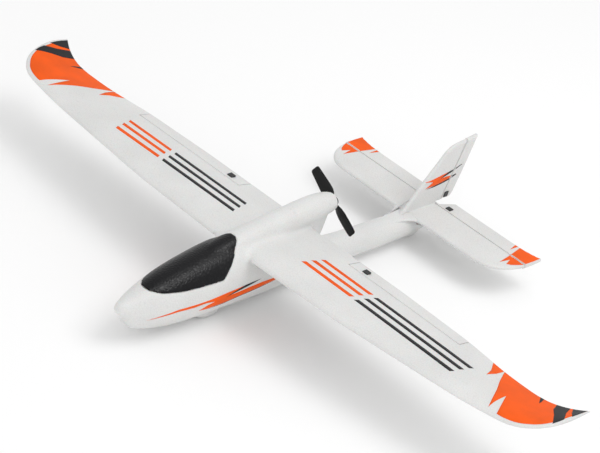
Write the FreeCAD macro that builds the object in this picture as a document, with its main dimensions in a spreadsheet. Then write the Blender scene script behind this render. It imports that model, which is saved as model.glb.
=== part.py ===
"""RC foam airplane: a 600 mm span pusher trainer, in millimetres.

+X is the port side, -Y is forward and +Z is up. The origin is on the ground under the middle
of the airplane, which stands on its belly skid and its tail skid.
"""
import FreeCAD, Part
import math
import os
import Sketcher
from FreeCAD import Placement, Rotation, Vector

doc = FreeCAD.newDocument("foam_airplane")
sheet = doc.addObject("Spreadsheet::Sheet", "driving_dimensions")

DRIVING = {
    # wing: one straight panel to the kink, a tapered one outside it, a raked and raised tip
    "wing_span": 600,
    "wing_root": 23.3,
    "wing_height": 57,
    "wing_tip_rise": 9.5,
    "upper_share": 0.8,
    "foam_edge": 1.0,
    # control surfaces
    "hinge_gap": 0.35,
    "bevel": 1.0,
    "aileron_inner": 63,
    "aileron_outer": 184,
    "aileron_hinge": -18,
    "elevator_hinge": 187.5,
    "rudder_hinge_low": 193.6,
    "rudder_hinge_high": 205.7,
    # tail
    "stab_half_span": 108,
    "stab_front": 149,
    "stab_rear": 207,
    "stab_bottom": 26,
    "stab_thickness": 4,
    "fin_top": 94.5,
    "fin_half_thickness": 2,
    "rudder_bottom": 32,
    # fuselage shell
    "wall": 4.5,
    "bay_floor": 16,
    "hatch_plane": 46.2,
    "hatch_gap": 0.35,
    "channel_half_width": 8.5,
    "channel_bottom": 18,
    "channel_height": 6,
    # power train
    "motor_height": 70.5,
    "motor_radius": 7,
    "motor_length": 13,
    "shaft_radius": 0.75,
    "prop_station": 30,
    "prop_radius": 32.5,
    "prop_pitch": 18,
    "prop_hub_radius": 3.6,
    "prop_hub_length": 4.4,
    # servos and linkages
    "servo_length": 16,
    "servo_width": 8,
    "servo_depth": 13,
    "arm_radius": 7,
    "arm_thickness": 1.2,
    "pivot_hole": 1.2,
    "wire_radius": 0.4,
    "tube_radius": 1.3,
    # loads and skids
    "spar_radius": 2,
    "spar_half_length": 140,
    "spar_station": -62,
    "spar_height": 59.4,
    "battery_length": 44,
    "battery_width": 18,
    "battery_height": 12,
    "tray_thickness": 2,
    "tray_width": 20.8,
    "magnet_radius": 3,
    "magnet_thickness": 2,
    "plate_size": 5.4,
    "plate_thickness": 0.8,
}
for row, (alias, value) in enumerate(DRIVING.items(), start=1):
    sheet.set(f"A{row}", alias)
    sheet.set(f"B{row}", str(value))
    sheet.setAlias(f"B{row}", alias)
doc.recompute()

# ---------------------------------------------------------------- outlines and places

# fuselage skin, one oval per row: distance aft, half width, bottom, top
HULL = {
    "nose": (-219.4, 1.4, 32.0, 34.8),
    "nose_round": (-217.2, 4.0, 28.4, 37.2),
    "chin": (-210.5, 7.4, 21.6, 39.4),
    "brow": (-200.0, 12.0, 13.4, 43.0),
    "hatch_front": (-187.0, 15.9, 8.9, 47.8),
    "battery": (-165.0, 20.2, 5.7, 54.4),
    "cabin": (-135.0, 23.0, 4.6, 61.2),
    "shoulder": (-100.0, 23.6, 4.0, 67.0),
    "wing_front": (-70.0, 22.6, 3.0, 66.0),
    "wing_rear": (-25.0, 18.8, 3.2, 54.5),
    "boom_root": (12.0, 15.0, 3.9, 37.0),
    "boom_front": (50.0, 13.1, 4.3, 30.6),
    "boom": (100.0, 12.3, 5.0, 29.6),
    "boom_rear": (145.0, 11.4, 6.0, 29.0),
    "tail": (172.0, 9.2, 8.6, 28.2),
    "tail_end": (184.0, 6.2, 12.5, 27.2),
}

# motor pod on the ridge behind the hatch: same columns
POD = {
    "pod_start": (-136.0, 8.0, 44.0, 58.0),
    "ridge_front": (-100.0, 11.5, 46.0, 69.8),
    "ridge": (-60.0, 11.5, 50.0, 75.5),
    "pod_front": (-20.0, 11.3, 57.0, 80.5),
    "pod_rear": (8.0, 10.6, 61.0, 82.4),
    "pod_shoulder": (19.5, 9.4, 62.6, 81.2),
    "pod_end": (26.0, 8.0, 64.2, 79.4),
}

# pylon under the pod, by height: front, rear, half thickness
PYLON = {
    20: (-60.0, 20.0, 6.0),
    36: (-56.0, 24.0, 6.0),
    50: (-52.0, 25.8, 6.4),
    66: (-50.0, 26.3, 7.6),
}

BAY_FRONT, BAY_REAR = -186.0, -22.0
HATCH_CORNER, HATCH_REAR_TOP = (-119.0, 46.2), (-88.5, 76.0)
HATCH_SILL = [(-230.0, 51.5), (-193.0, 46.4), (-180.0, 44.6), (-160.0, 44.4)]

ROOT_FRONT, ROOT_REAR, ROOT_THICKNESS = -92.0, -1.2, 8.6

# wing outside the root: distance out, front edge, rear edge, thickness
WING = [
    (112, -88.6, -0.9, 8.0),
    (184, -80.3, -3.4, 6.8),
    (224, -75.7, -8.6, 6.0),
    (262, -69.6, -10.6, 5.0),
]
TIP_FRONT, TIP_REAR, TIP_THICKNESS = -19.0, 2.5, 3.0
TIP_FULLNESS = 2.25
RISE_START, RISE_POWER = 200, 4
TIP_SECTIONS = 8

# wing fixings: the tongue's front, rear, bottom and top, then how far it and its screws lie out
TONGUE = (-82.0, -74.0, 57.2, 59.2)
TONGUE_REACH = 40
LOCK_SCREW = (32.0, -78.0)
HEAD_TOP = 54.9

# tail: rear end of the boom's channel, foot of the fin, and the elevator's notch behind the fin
CHANNEL_END = 153.0
FIN_FRONT, FIN_FOOT = 139.0, 26.5
NOTCH_ROOT, NOTCH_FRONT, NOTCH_MOUTH = 4, 191, 11

# servos: ears, gap under the arm, and how far aft the output shaft is
EAR_THICKNESS, EAR, EAR_PLACE = 1.2, 3, 2.5
ARM_GAP, PIVOT_OFFSET = 0.4, 4
ARM_ROOT, ARM_TIP = 2.3, 1.7
AILERON_SERVO = (70.0, -48.0, 57.0)

# each servo's middle, and the side that its arm is on
SERVOS = {
    "elevator": ((0.0, -64.0, 28.0), 1),
    "rudder": ((0.0, -40.0, 28.0), -1),
    "aileron_left": (AILERON_SERVO, 1),
    "aileron_right": ((-AILERON_SERVO[0], AILERON_SERVO[1], AILERON_SERVO[2]), -1),
}

# where each surface's horn goes through it: place across (height, on the rudder), then distance aft
HORN_X = 78.0
HORNS = {
    "aileron": (HORN_X, -11.4),
    "elevator": (14.8, 192.4),
    "rudder": (37.0, 199.2),
}
SLOPE_ROOM = 1.0

# bent wires, servo arm end first; each end passes sideways through an arm
WIRE_SIDE = 1.5
ELEVATOR_WIRE = [
    (6.6, -60, 21), (9.5, -60, 21), (9.5, -50, 21), (7, -26, 21), (7, 152, 21),
    (16.3, 178, 21), (16.3, 187.5, 21), (13.4, 187.5, 21),
]
RUDDER_WIRE = [
    (-6.6, -36, 21), (-9.5, -36, 21), (-9.5, -33.5, 21), (-7, -24, 21), (-7, 104, 21),
    (-7, 158, 35), (-7, 188, 39), (-7, 194.5, 39), (-7, 194.5, 35.6),
]

# guide tubes in the boom: distance aside, front end, rear end, and their height
GUIDE_TUBES = {"elevator": (7, -10, 138), "rudder": (-7, 0, 92)}
TUBE_HEIGHT = 21

# motor: distances aft of its mount, stator, bell and shaft
MOUNT_FRONT, MOUNT_REAR = 4, 6
BASE_REAR, STACK_FRONT, STACK_REAR, BEARING_REAR = 7.6, 10, 17.6, 18.4
BELL_FRONT, BELL_WALL, BELL_END = 8.9, 0.9, 1.4
SHAFT_FRONT, SHAFT_OVERHANG = 6.4, 0.6
COLLAR_RADIUS, COLLAR_LENGTH = 1.7, 2
SCREW_OFFSET = 4.2
LEAD_SPACING = 1.4
MOTOR_LEAD_RUN = [(6, 70.5), (3.2, 70.5), (-40, 58), (-58, 44), (-86, 30), (-86, 20.8)]

# propeller blades, one oval per row: radius, chord, thickness
PROP_REST_ANGLE = 150
ROOT_PITCH_ANGLE = 24
BLADE_ROWS = [(3.4, 5.6, 2.4), (6, 8.6, 2.1), (9, 11.0, 1.8), (14, 11.6, 1.5), (22, 10.8, 1.2),
              (29, 9.8, 0.9), (31.2, 9.2, 0.8), (32.1, 7.8, 0.7), (32.5, 5.8, 0.6)]

# equipment: front ends and lengths along the bay
TRAY_FRONT, TRAY_LENGTH = -170, 90
BATTERY_FRONT, BATTERY_ROUND = -168.0, 1.5
STRAP_FRONT, STRAP_REAR, STRAP_THICKNESS = -150, -140, 0.8
BOARD_FRONT, BOARD_REAR, BOARD_HALF_WIDTH = -112, -84, 9
TAPE_THICKNESS, BOARD_THICKNESS = 1.6, 1.2
SERVO_BLOCK = (-6, -75, 12, 46)

# skids: corners of the pad's outline and its rounding, and side view of the tail keel
PAD_HALF_WIDTH, PAD_FRONT, PAD_REAR, PAD_TOP = 11, -127, -91, 9.4
PAD_CORNER, PAD_EDGE = 6, 2.5
TAIL_KEEL = [(148, 10), (157, 2), (163, 0), (171, 0), (177, 5), (180, 13), (148, 13)]
KEEL_HALF = 1.5

# turns from a drawing plane to the planes of the arms and horns
TO_X = Rotation(Vector(0, 1, 0), Vector(0, 0, 1), Vector(1, 0, 0), "ZXY")
TO_RUDDER = Rotation(Vector(0, 1, 0), Vector(1, 0, 0), Vector(0, 0, -1), "ZXY")


nodes = []


def dim(alias):
    """Value of a driving dimension."""
    return float(sheet.get(alias))


def node(obj, label):
    """Name a finished sub-part and put it on the list of pieces."""
    obj.Label = label
    nodes.append(obj)
    return obj


def shape_node(label, shape, place=None):
    """Sub-part whose curved shape comes from Part's own functions."""
    obj = doc.addObject("Part::Feature", label)
    obj.Shape = shape
    if place:
        obj.Placement = place
    return node(obj, label)


def primitive(kind, label, place, **sizes):
    """Part primitive whose sizes follow the sheet."""
    obj = doc.addObject(kind, label)
    for name, expression in sizes.items():
        obj.setExpression(name, expression)
    obj.Placement = place
    return obj


def boolean(kind, label, base, tool):
    """Cut, fuse or intersect two document objects."""
    obj = doc.addObject(kind, label)
    obj.Base = base
    obj.Tool = tool
    return obj


def pad_body(label, outline, thickness, place, holes=(), fillet=0):
    """PartDesign body: a closed outline with round holes, padded both ways by a sheet expression."""
    body = doc.addObject("PartDesign::Body", label)
    sketch = body.newObject("Sketcher::SketchObject", label + "_outline")
    plane = next(f for f in body.Origin.OriginFeatures if f.Role == "XY_Plane")
    sketch.AttachmentSupport = [(plane, "")]
    sketch.MapMode = "FlatFace"
    points = [Vector(u, v, 0) for u, v in outline]
    for start, end in zip(points, points[1:] + points[:1]):
        sketch.addGeometry(Part.LineSegment(start, end), False)
    for index in range(len(points)):
        following = (index + 1) % len(points)
        sketch.addConstraint(Sketcher.Constraint("Coincident", index, 2, following, 1))
    for (u, v), radius in holes:
        sketch.addGeometry(Part.Circle(Vector(u, v, 0), Vector(0, 0, 1), radius), False)
    pad = body.newObject("PartDesign::Pad", label + "_pad")
    pad.Profile = sketch
    pad.setExpression("Length", thickness)
    pad.Midplane = True
    doc.recompute()
    if fillet:
        round_over = body.newObject("PartDesign::Fillet", label + "_fillet")
        flat = [f"Edge{i}" for i, e in enumerate(pad.Shape.Edges, 1) if not upright(e)]
        round_over.Base = (pad, flat)
        round_over.Radius = fillet
        doc.recompute()
    body.Placement = place
    return body


def upright(edge):
    """True for an edge along the padding direction."""
    return abs(edge.tangentAt(edge.FirstParameter).z) > 0.9


def box(low, high):
    """Box solid between two corners."""
    size = [b - a for a, b in zip(low, high)]
    return Part.makeBox(size[0], size[1], size[2], Vector(*low))


def cylinder(start, end, radius):
    """Cylinder solid between two points."""
    axis = Vector(*end) - Vector(*start)
    return Part.makeCylinder(radius, axis.Length, Vector(*start), axis)


def rod(points, radius):
    """Bent wire: straight runs with round corners."""
    runs = [cylinder(a, b, radius) for a, b in zip(points, points[1:])]
    corners = [Part.makeSphere(radius, Vector(*p)) for p in points[1:-1]]
    return runs[0].multiFuse(runs[1:] + corners).removeSplitter()


def prism(profile, x_low, x_high):
    """Solid with a profile in the YZ plane, from x_low to x_high."""
    points = [Vector(x_low, y, z) for y, z in profile]
    face = Part.Face(Part.makePolygon(points + points[:1]))
    return face.extrude(Vector(x_high - x_low, 0, 0))


def mirrored(shape):
    """The same shape on the starboard side."""
    return shape.mirror(Vector(0, 0, 0), Vector(1, 0, 0))


def smooth_ring(place_point, count=16):
    """Closed smooth curve through points given by an angle, its seam away from the middle plane."""
    angles = [math.radians(75) + 2 * math.pi * i / count for i in range(count)]
    curve = Part.BSplineCurve()
    curve.interpolate([place_point(a) for a in angles], PeriodicFlag=True)
    return Part.Wire([curve.toShape()])


def ring(station, half_width, low, high):
    """Oval cross-section of the fuselage at one station."""
    middle, half_height = (low + high) / 2, (high - low) / 2
    return smooth_ring(lambda angle: Vector(half_width * math.sin(angle), station,
                                            middle + half_height * math.cos(angle)))


# ---------------------------------------------------------------- fuselage

def hull_loft(inset=0.0, first=None, last=None):
    """Fuselage skin, or the same shape made smaller by an inset between two stations."""
    rows = [r for r in HULL.values() if (first is None or first <= r[0] <= last)]
    rings = [ring(y, a - inset, low + inset, high - inset) for y, a, low, high in rows]
    return Part.makeLoft(rings, True, False)


def pod_loft():
    """Motor pod."""
    return Part.makeLoft([ring(*row) for row in POD.values()], True, False)


def pylon_loft():
    """Streamlined web between pod and boom."""
    wires = []
    for height, (front, rear, half) in PYLON.items():
        wires.append(flat_ring(height, front, rear, half))
    return Part.makeLoft(wires, True, False)


def flat_ring(height, front, rear, half_width):
    """Level oval between a front and a rear point."""
    middle, reach = (front + rear) / 2, (rear - front) / 2
    return smooth_ring(lambda a: Vector(half_width * math.sin(a), middle + reach * math.cos(a), height))


def hatch_prism(gap):
    """Space of the hatch: above its sill and ahead of a raked cut."""
    y_corner, z_corner = HATCH_CORNER
    y_top, z_top = HATCH_REAR_TOP
    profile = [(y, z + gap) for y, z in HATCH_SILL + [HATCH_CORNER]]
    profile[-1] = (y_corner - gap / 2, z_corner + gap)
    profile += [(y_top - gap, z_top + gap), (y_top - gap, 100), (-230, 100)]
    return prism(profile, -40, 40)


def airfoil(x, front, rear, thickness, rise, edge):
    """Wing section at x: a domed upper curve, a nearly flat lower one, and a blunt rear edge."""
    chord, share, base = rear - front, dim("upper_share"), dim("wing_height") + rise

    def half(fraction):
        root = math.sqrt(fraction)
        return 2.969 * root - fraction * (1.26 + fraction * (3.516 - fraction * (2.843 - 1.036 * fraction)))

    def side(sign, portion):
        fractions = [(1 - math.cos(math.pi * i / 12)) / 2 for i in range(13)]
        heights = [sign * (portion * thickness * half(f) + edge / 2 * f) for f in fractions]
        return [Vector(x, front + f * chord, base + h) for f, h in zip(fractions, heights)]

    upper, lower = side(1, share), side(-1, 1 - share)
    upper_curve, lower_curve = Part.BSplineCurve(), Part.BSplineCurve()
    upper_curve.interpolate(upper)
    lower_curve.interpolate(lower)
    closing = Part.LineSegment(upper[-1], lower[-1])
    return Part.Wire([upper_curve.toShape(), closing.toShape(), lower_curve.toShape()])


def root_section(x):
    """Wing section where the wing meets the fuselage."""
    return airfoil(x, ROOT_FRONT, ROOT_REAR, ROOT_THICKNESS, 0, dim("foam_edge"))


def lift(x):
    """Height that the swept-up tip adds at a distance out."""
    reach = max(0, x - RISE_START) / (dim("wing_span") / 2 - RISE_START)
    return dim("wing_tip_rise") * reach ** RISE_POWER


def wing_rows():
    """Rows of the outer panel, with the rounded tip added as part of a full oval."""
    start, front, rear, thickness = WING[-1]
    rows = list(WING)
    for i in range(1, TIP_SECTIONS + 1):
        u = math.sin(math.pi / 2 * i / TIP_SECTIONS)
        x = start + u * (dim("wing_span") / 2 - start)
        sweep = 1 - (1 - u ** TIP_FULLNESS) ** (1 / TIP_FULLNESS)
        tip_front = front + sweep * (TIP_FRONT - front)
        tip_rear = rear + u * u * (TIP_REAR - rear)
        rows.append((x, tip_front, tip_rear, thickness + u * (TIP_THICKNESS - thickness)))
    return rows


def wing_panel():
    """Port wing panel, root to tip, before the aileron is cut from it."""
    edge = dim("foam_edge")
    sections = [root_section(dim("wing_root"))]
    sections += [airfoil(x, front, rear, thick, lift(x), edge) for x, front, rear, thick in wing_rows()]
    return Part.makeLoft(sections, True, True)


def surface_space(hinge, height, rear_limit, low, high, gap):
    """Space of a control surface: everything behind its hinge line, with a beak-shaped front edge."""
    reach, bevel = 8, dim("bevel")
    profile = [
        (hinge + gap, height),
        (hinge + gap + bevel, height + dim("stab_thickness") / 2),
        (hinge + gap + bevel, height + reach),
        (rear_limit, height + reach),
        (rear_limit, height - reach),
        (hinge + gap + bevel, height - reach),
        (hinge + gap + bevel, height - dim("stab_thickness") / 2),
    ]
    return prism(profile, low, high)


def servo_pocket(centre, clearance=0.2):
    """Hole for a servo lying on its side."""
    x, y, z = centre
    half_x = dim("servo_depth") / 2 + clearance
    half_y = dim("servo_length") / 2 + 3 + clearance
    half_z = dim("servo_width") / 2 + clearance
    return box((x - half_x, y - half_y, z - half_z - 4), (x + half_x, y + half_y, z + half_z))


def spar_hole():
    """Bore for the wing spar."""
    reach, station, height = dim("spar_half_length") + 0.5, dim("spar_station"), dim("spar_height")
    return cylinder((-reach, station, height), (reach, station, height), dim("spar_radius"))


def build_fuselage():
    """Two foam shells with the equipment bay, boom channel and motor bay between them."""
    floor, half, low = dim("bay_floor"), dim("channel_half_width"), dim("channel_bottom")
    high = low + dim("channel_height")
    motor, axis = dim("motor_radius") + 0.9, dim("motor_height")
    saddle_ends = [root_section(-dim("wing_root")), root_section(dim("wing_root"))]
    saddle = Part.makeLoft(saddle_ends, True, True)
    skin = hull_loft().multiFuse([pod_loft(), pylon_loft(), saddle])
    bay = hull_loft(dim("wall"), BAY_FRONT - 2, BAY_REAR - 2)
    bay = bay.common(box((-40, BAY_FRONT, floor), (40, BAY_REAR, 52)))
    channel = box((-half, BAY_REAR - 8, low), (half, CHANNEL_END, high))
    motor_bay = cylinder((0, 4, axis), (0, 40, axis), motor)
    lead_duct = rod([(0, 6, axis), (0, -40, 58), (0, -58, 44)], 2.6)
    tongue_y0, tongue_y1, tongue_z0, tongue_z1 = TONGUE
    tongue = box((-40, tongue_y0, tongue_z0), (40, tongue_y1, tongue_z1))
    elevator_exit = rod([p for p in ELEVATOR_WIRE if p[1] > CHANNEL_END - 20], 1.6)
    rudder_exit = rod([p for p in RUDDER_WIRE if 90 < p[1] < 170], 1.6)
    stab_seat = box((-20, dim("stab_front") - 1, dim("stab_bottom")), (20, 200, 40))
    fin_half = dim("fin_half_thickness")
    fin_socket = box((-fin_half, FIN_FRONT, FIN_FOOT), (fin_half, dim("stab_front"), 40))
    magnet = hatch_magnet(1)
    for cut in (bay, channel, motor_bay, lead_duct, spar_hole(), tongue,
                elevator_exit, rudder_exit, stab_seat, fin_socket, hatch_prism(0), magnet):
        skin = skin.cut(cut)
    left = skin.common(box((0, -240, -5), (60, 240, 120)))
    right = skin.common(box((-60, -240, -5), (0, 240, 120)))
    shape_node("fuselage_left", left)
    shape_node("fuselage_right", right)
    shape_node("fuselage_magnet", magnet)


def hatch_magnet(side):
    """Disc magnet let into one side of the hatch's raked joint: -1 in the hatch, 1 in the fuselage."""
    (y0, z0), (y1, z1) = HATCH_CORNER, HATCH_REAR_TOP
    length = math.hypot(y1 - y0, z1 - z0)
    normal = Vector(0, (z1 - z0) / length, -(y1 - y0) / length)
    middle = Vector(0, (y0 + y1) / 2 - 3, (z0 + z1) / 2 - 3)
    start = middle + normal * (0.4 * dim("hatch_gap") * side - (0.6 * dim("hatch_gap") if side < 0 else 0))
    return Part.makeCylinder(dim("magnet_radius"), dim("magnet_thickness"), start, normal * side)


def build_hatch():
    """Black foam canopy that lifts off the equipment bay."""
    gap = dim("hatch_gap")
    whole = hull_loft().fuse(pod_loft())
    shell = whole.common(hatch_prism(gap))
    hollow = hull_loft(dim("wall") - 0.5, BAY_FRONT - 2, BAY_REAR - 2)
    hollow = hollow.common(box((-40, BAY_FRONT, 0), (40, HATCH_CORNER[0] - 4, 100)))
    magnet = hatch_magnet(-1)
    shape_node("canopy_hatch", shell.cut(hollow).cut(magnet))
    shape_node("hatch_magnet", magnet)


def build_wings():
    """Wing panels with their ailerons, servo wells and spar bores."""
    whole = wing_panel()
    inner, outer = dim("aileron_inner"), dim("aileron_outer")
    hinge, gap = dim("aileron_hinge"), dim("hinge_gap")
    cut_out = surface_space(hinge, dim("wing_height"), 20, inner, outer, -gap - dim("bevel"))
    moving = surface_space(hinge, dim("wing_height"), 20, inner + 0.6, outer - 0.6, gap)
    x, y, z = AILERON_SERVO
    tongue_y0, tongue_y1, tongue_z0, tongue_z1 = TONGUE
    tongue = box((-40, tongue_y0, tongue_z0), (TONGUE_REACH, tongue_y1, tongue_z1))
    well = servo_pocket(AILERON_SERVO)
    screw = cylinder((LOCK_SCREW[0], LOCK_SCREW[1], 50), (LOCK_SCREW[0], LOCK_SCREW[1], TONGUE[3]), 1)
    arm_slot = box((HORN_X - 2.6, y - 10, 50), (HORN_X + 3.2, y + 10, z + 2.4))
    wing = whole.cut(cut_out).cut(spar_hole()).cut(tongue).cut(well).cut(arm_slot).cut(screw)
    aileron = whole.common(moving).cut(horn_slot("aileron"))
    for side, make in (("left", lambda shape: shape), ("right", mirrored)):
        shape_node(f"wing_{side}", make(wing))
        shape_node(f"aileron_{side}", make(aileron))


def build_tail():
    """Tailplane with its elevator, and fin with its rudder."""
    thick, bottom = dim("stab_thickness"), dim("stab_bottom")
    hinge, gap, bevel = dim("elevator_hinge"), dim("hinge_gap"), dim("bevel")
    front, rear, half = dim("stab_front"), dim("stab_rear"), dim("stab_half_span")
    outline = [(-NOTCH_ROOT, NOTCH_FRONT), (-NOTCH_MOUTH, rear), (-0.75 * half, rear), (-half, rear + 4.6),
               (-half, rear - 4), (-0.985 * half, front + 31), (-0.945 * half, front + 18),
               (-0.885 * half, front + 8), (-0.81 * half, front + 2.2), (-0.7 * half, front)]
    outline = outline + [(-u, v) for u, v in reversed(outline)]
    middle = Placement(Vector(0, 0, bottom + thick / 2), Rotation())
    plate = pad_body("tailplane_blank", outline, "driving_dimensions.stab_thickness", middle, fillet=1.4)
    moving = surface_space(hinge, bottom + thick / 2, 230, -130, 130, gap)
    kept = surface_space(hinge, bottom + thick / 2, 230, -130, 130, -gap - bevel)
    stab = plate.Shape.cut(kept)
    elevator = plate.Shape.common(moving).cut(horn_slot("elevator"))
    shape_node("horizontal_stabilizer", stab)
    shape_node("elevator", elevator)

    top, low = dim("fin_top"), bottom + thick
    rudder_low = dim("rudder_bottom")
    fin_outline = [(FIN_FRONT, 29.2), (149, 43), (161, 60), (174, 77), (180, 85.6), (186, 89.2),
                   (202, top - 2.7), (212, top - 1.2), (218.4, top), (219.4, top - 1), (217.8, 80),
                   (214.4, 60), (211.6, 45), (210.2, 36), (207.6, rudder_low), (186, rudder_low), (186, low),
                   (149, low), (148.6, FIN_FOOT), (FIN_FRONT, FIN_FOOT)]
    blank = pad_body("fin_blank", fin_outline, "2 * driving_dimensions.fin_half_thickness",
                     Placement(Vector(0, 0, 0), TO_X))
    shape_node("vertical_fin", blank.Shape.cut(rudder_space(-gap - bevel)))
    shape_node("rudder", blank.Shape.common(rudder_space(gap)).cut(horn_slot("rudder")))


def rudder_line(z):
    """Distance aft of the rudder's hinge line at a height."""
    low, high = dim("rudder_hinge_low"), dim("rudder_hinge_high")
    return low + (high - low) * (z - dim("rudder_bottom")) / (dim("fin_top") - dim("rudder_bottom"))


def rudder_space(gap):
    """Space of the rudder behind its raked hinge line."""
    half, side, rear = dim("fin_half_thickness"), 10, 240
    wires = []
    for z in (20, 110):
        y = rudder_line(z) + gap
        step = y + dim("bevel")
        beak = [(0, y), (half, step), (side, step), (side, rear), (-side, rear), (-side, step), (-half, step)]
        points = [Vector(u, v, z) for u, v in beak]
        wires.append(Part.makePolygon(points + points[:1]))
    return Part.makeLoft(wires, True, True)


def horn_slot(surface):
    """Slot that a horn's blade goes through."""
    across, along = HORNS[surface]
    half = dim("arm_thickness") / 2
    if surface == "rudder":
        return box((-4, along - 3, across - half), (4, along + 3, across + half))
    height = {"aileron": dim("wing_height"), "elevator": dim("stab_bottom") + 2}[surface]
    return box((across - half, along - 3, height - 6), (across + half, along + 3, height + 6))


def build_servo(name):
    """Servo on its side, its arm hanging down from the output shaft."""
    (x, y, z), side = SERVOS[name]
    case_place = Placement(Vector(x - dim("servo_depth") / 2, y - dim("servo_length") / 2,
                                  z - dim("servo_width") / 2), Rotation())
    case = primitive("Part::Box", f"{name}_servo_case", case_place,
                     Length="driving_dimensions.servo_depth",
                     Width="driving_dimensions.servo_length",
                     Height="driving_dimensions.servo_width")
    flange_x = x + side * EAR_PLACE - EAR_THICKNESS / 2
    flange_place = Placement(Vector(flange_x, y - dim("servo_length") / 2 - EAR, z - dim("servo_width") / 2),
                             Rotation())
    flange = primitive("Part::Box", f"{name}_servo_ears", flange_place,
                       Width=f"driving_dimensions.servo_length + {2 * EAR}",
                       Height="driving_dimensions.servo_width")
    flange.Length = EAR_THICKNESS
    node(boolean("Part::Fuse", f"{name}_servo_body", case, flange), f"{name}_servo")

    face = x + side * (dim("servo_depth") / 2 + ARM_GAP)
    pivot = Vector(face + side * dim("arm_thickness") / 2, y + PIVOT_OFFSET, z)
    reach = dim("arm_radius")
    outline = arc_points((0, 0), ARM_ROOT, 0, 180) + arc_points((0, -reach), ARM_TIP, 180, 360)
    arm = pad_body(f"{name}_arm_blade", outline, "driving_dimensions.arm_thickness",
                   Placement(pivot, TO_X), holes=[((0, -reach), dim("pivot_hole"))])
    hub = primitive("Part::Cylinder", f"{name}_arm_hub",
                    Placement(pivot + Vector(side * dim("arm_thickness") / 2, 0, 0),
                              Rotation(Vector(0, 0, 1), Vector(side, 0, 0))))
    hub.Radius, hub.Height = 1.6, 0.8
    node(boolean("Part::Fuse", f"{name}_arm", arm, hub), f"{name}_servo_arm")


def arc_points(centre, radius, start, end, steps=6):
    """Points on an arc, for a rounded end."""
    angles = [math.radians(start + (end - start) * i / steps) for i in range(steps + 1)]
    return [(centre[0] + radius * math.cos(a), centre[1] + radius * math.sin(a)) for a in angles]


def build_horn(name, hinge_point, to_plate, along, low, top, surface=None):
    """Control horn: a blade through the foam with a flange below it and a retaining plate above."""
    reach, thick = dim("arm_radius"), dim("arm_thickness")
    outline = [(along - 2.4, top), (along + 2.4, top), (along + 2.4, low), (1.5, -reach - 1.7),
               (-1.5, -reach - 1.7), (-1.8, -reach + 1.2), (along - 2.4, low)]
    blade = pad_body(f"{name}_horn_blade", outline, "driving_dimensions.arm_thickness",
                     Placement(hinge_point, to_plate), holes=[((0, -reach), dim("pivot_hole"))])
    half = dim("plate_size") / 2
    corner = hinge_point + to_plate.multVec(Vector(along - half, low - 0.8, -half))
    flange = primitive("Part::Box", f"{name}_horn_flange", Placement(corner, to_plate),
                       Length="driving_dimensions.plate_size",
                       Height="driving_dimensions.plate_size",
                       Width="driving_dimensions.plate_thickness")
    horn = node(boolean("Part::Fuse", f"{name}_horn_solid", blade, flange), f"{name}_horn")
    start = top - (SLOPE_ROOM if surface else 0)
    corner = hinge_point + to_plate.multVec(Vector(along - half, start, -half))
    plate = primitive("Part::Box", f"{name}_plate_blank", Placement(corner, to_plate),
                      Length="driving_dimensions.plate_size",
                      Height="driving_dimensions.plate_size",
                      Width=f"driving_dimensions.plate_thickness + {1.5 * SLOPE_ROOM if surface else 0}")
    if surface:
        slotted = boolean("Part::Cut", f"{name}_plate_slotted", plate, horn)
        plate = boolean("Part::Cut", f"{name}_plate_fitted", slotted, surface)
    node(plate, f"{name}_horn_plate")


def build_linkages():
    """Servos, arms, horns and the wires between them."""
    for name in SERVOS:
        build_servo(name)
    axis_z = dim("stab_bottom") + dim("stab_thickness") / 2
    across, along = HORNS["elevator"]
    build_horn("elevator", Vector(across, dim("elevator_hinge"), axis_z), TO_X,
               along - dim("elevator_hinge"), -2, 2)
    height, along = HORNS["rudder"]
    build_horn("rudder", Vector(0, rudder_line(height), height), TO_RUDDER,
               along - rudder_line(height), -2, 2)
    for side, sign in (("left", 1), ("right", -1)):
        hinge_point = Vector(sign * HORN_X, dim("aileron_hinge"), dim("wing_height"))
        aileron = next(obj for obj in nodes if obj.Label == f"aileron_{side}")
        build_horn(f"aileron_{side}", hinge_point, TO_X, HORNS["aileron"][1] - dim("aileron_hinge"),
                   -1.15, 2.2, aileron)
        x, y, z = AILERON_SERVO
        pivot_y, low_z = y + PIVOT_OFFSET, z - dim("arm_radius")
        far = HORN_X + WIRE_SIDE
        path = [(HORN_X - 1.7, pivot_y, low_z), (far, pivot_y, low_z),
                (far, dim("aileron_hinge"), low_z), (HORN_X - 1.6, dim("aileron_hinge"), low_z)]
        wire = rod([(sign * u, v, w) for u, v, w in path], dim("wire_radius"))
        shape_node(f"aileron_{side}_pushrod", wire)
    shape_node("elevator_pushrod", rod(ELEVATOR_WIRE, dim("wire_radius")))
    shape_node("rudder_pushrod", rod(RUDDER_WIRE, dim("wire_radius")))
    for name, (x, start, end) in GUIDE_TUBES.items():
        outer = cylinder((x, start, TUBE_HEIGHT), (x, end, TUBE_HEIGHT), dim("tube_radius"))
        inner = cylinder((x, start, TUBE_HEIGHT), (x, end, TUBE_HEIGHT), dim("wire_radius") + 0.35)
        shape_node(f"{name}_guide_tube", outer.cut(inner))


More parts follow.
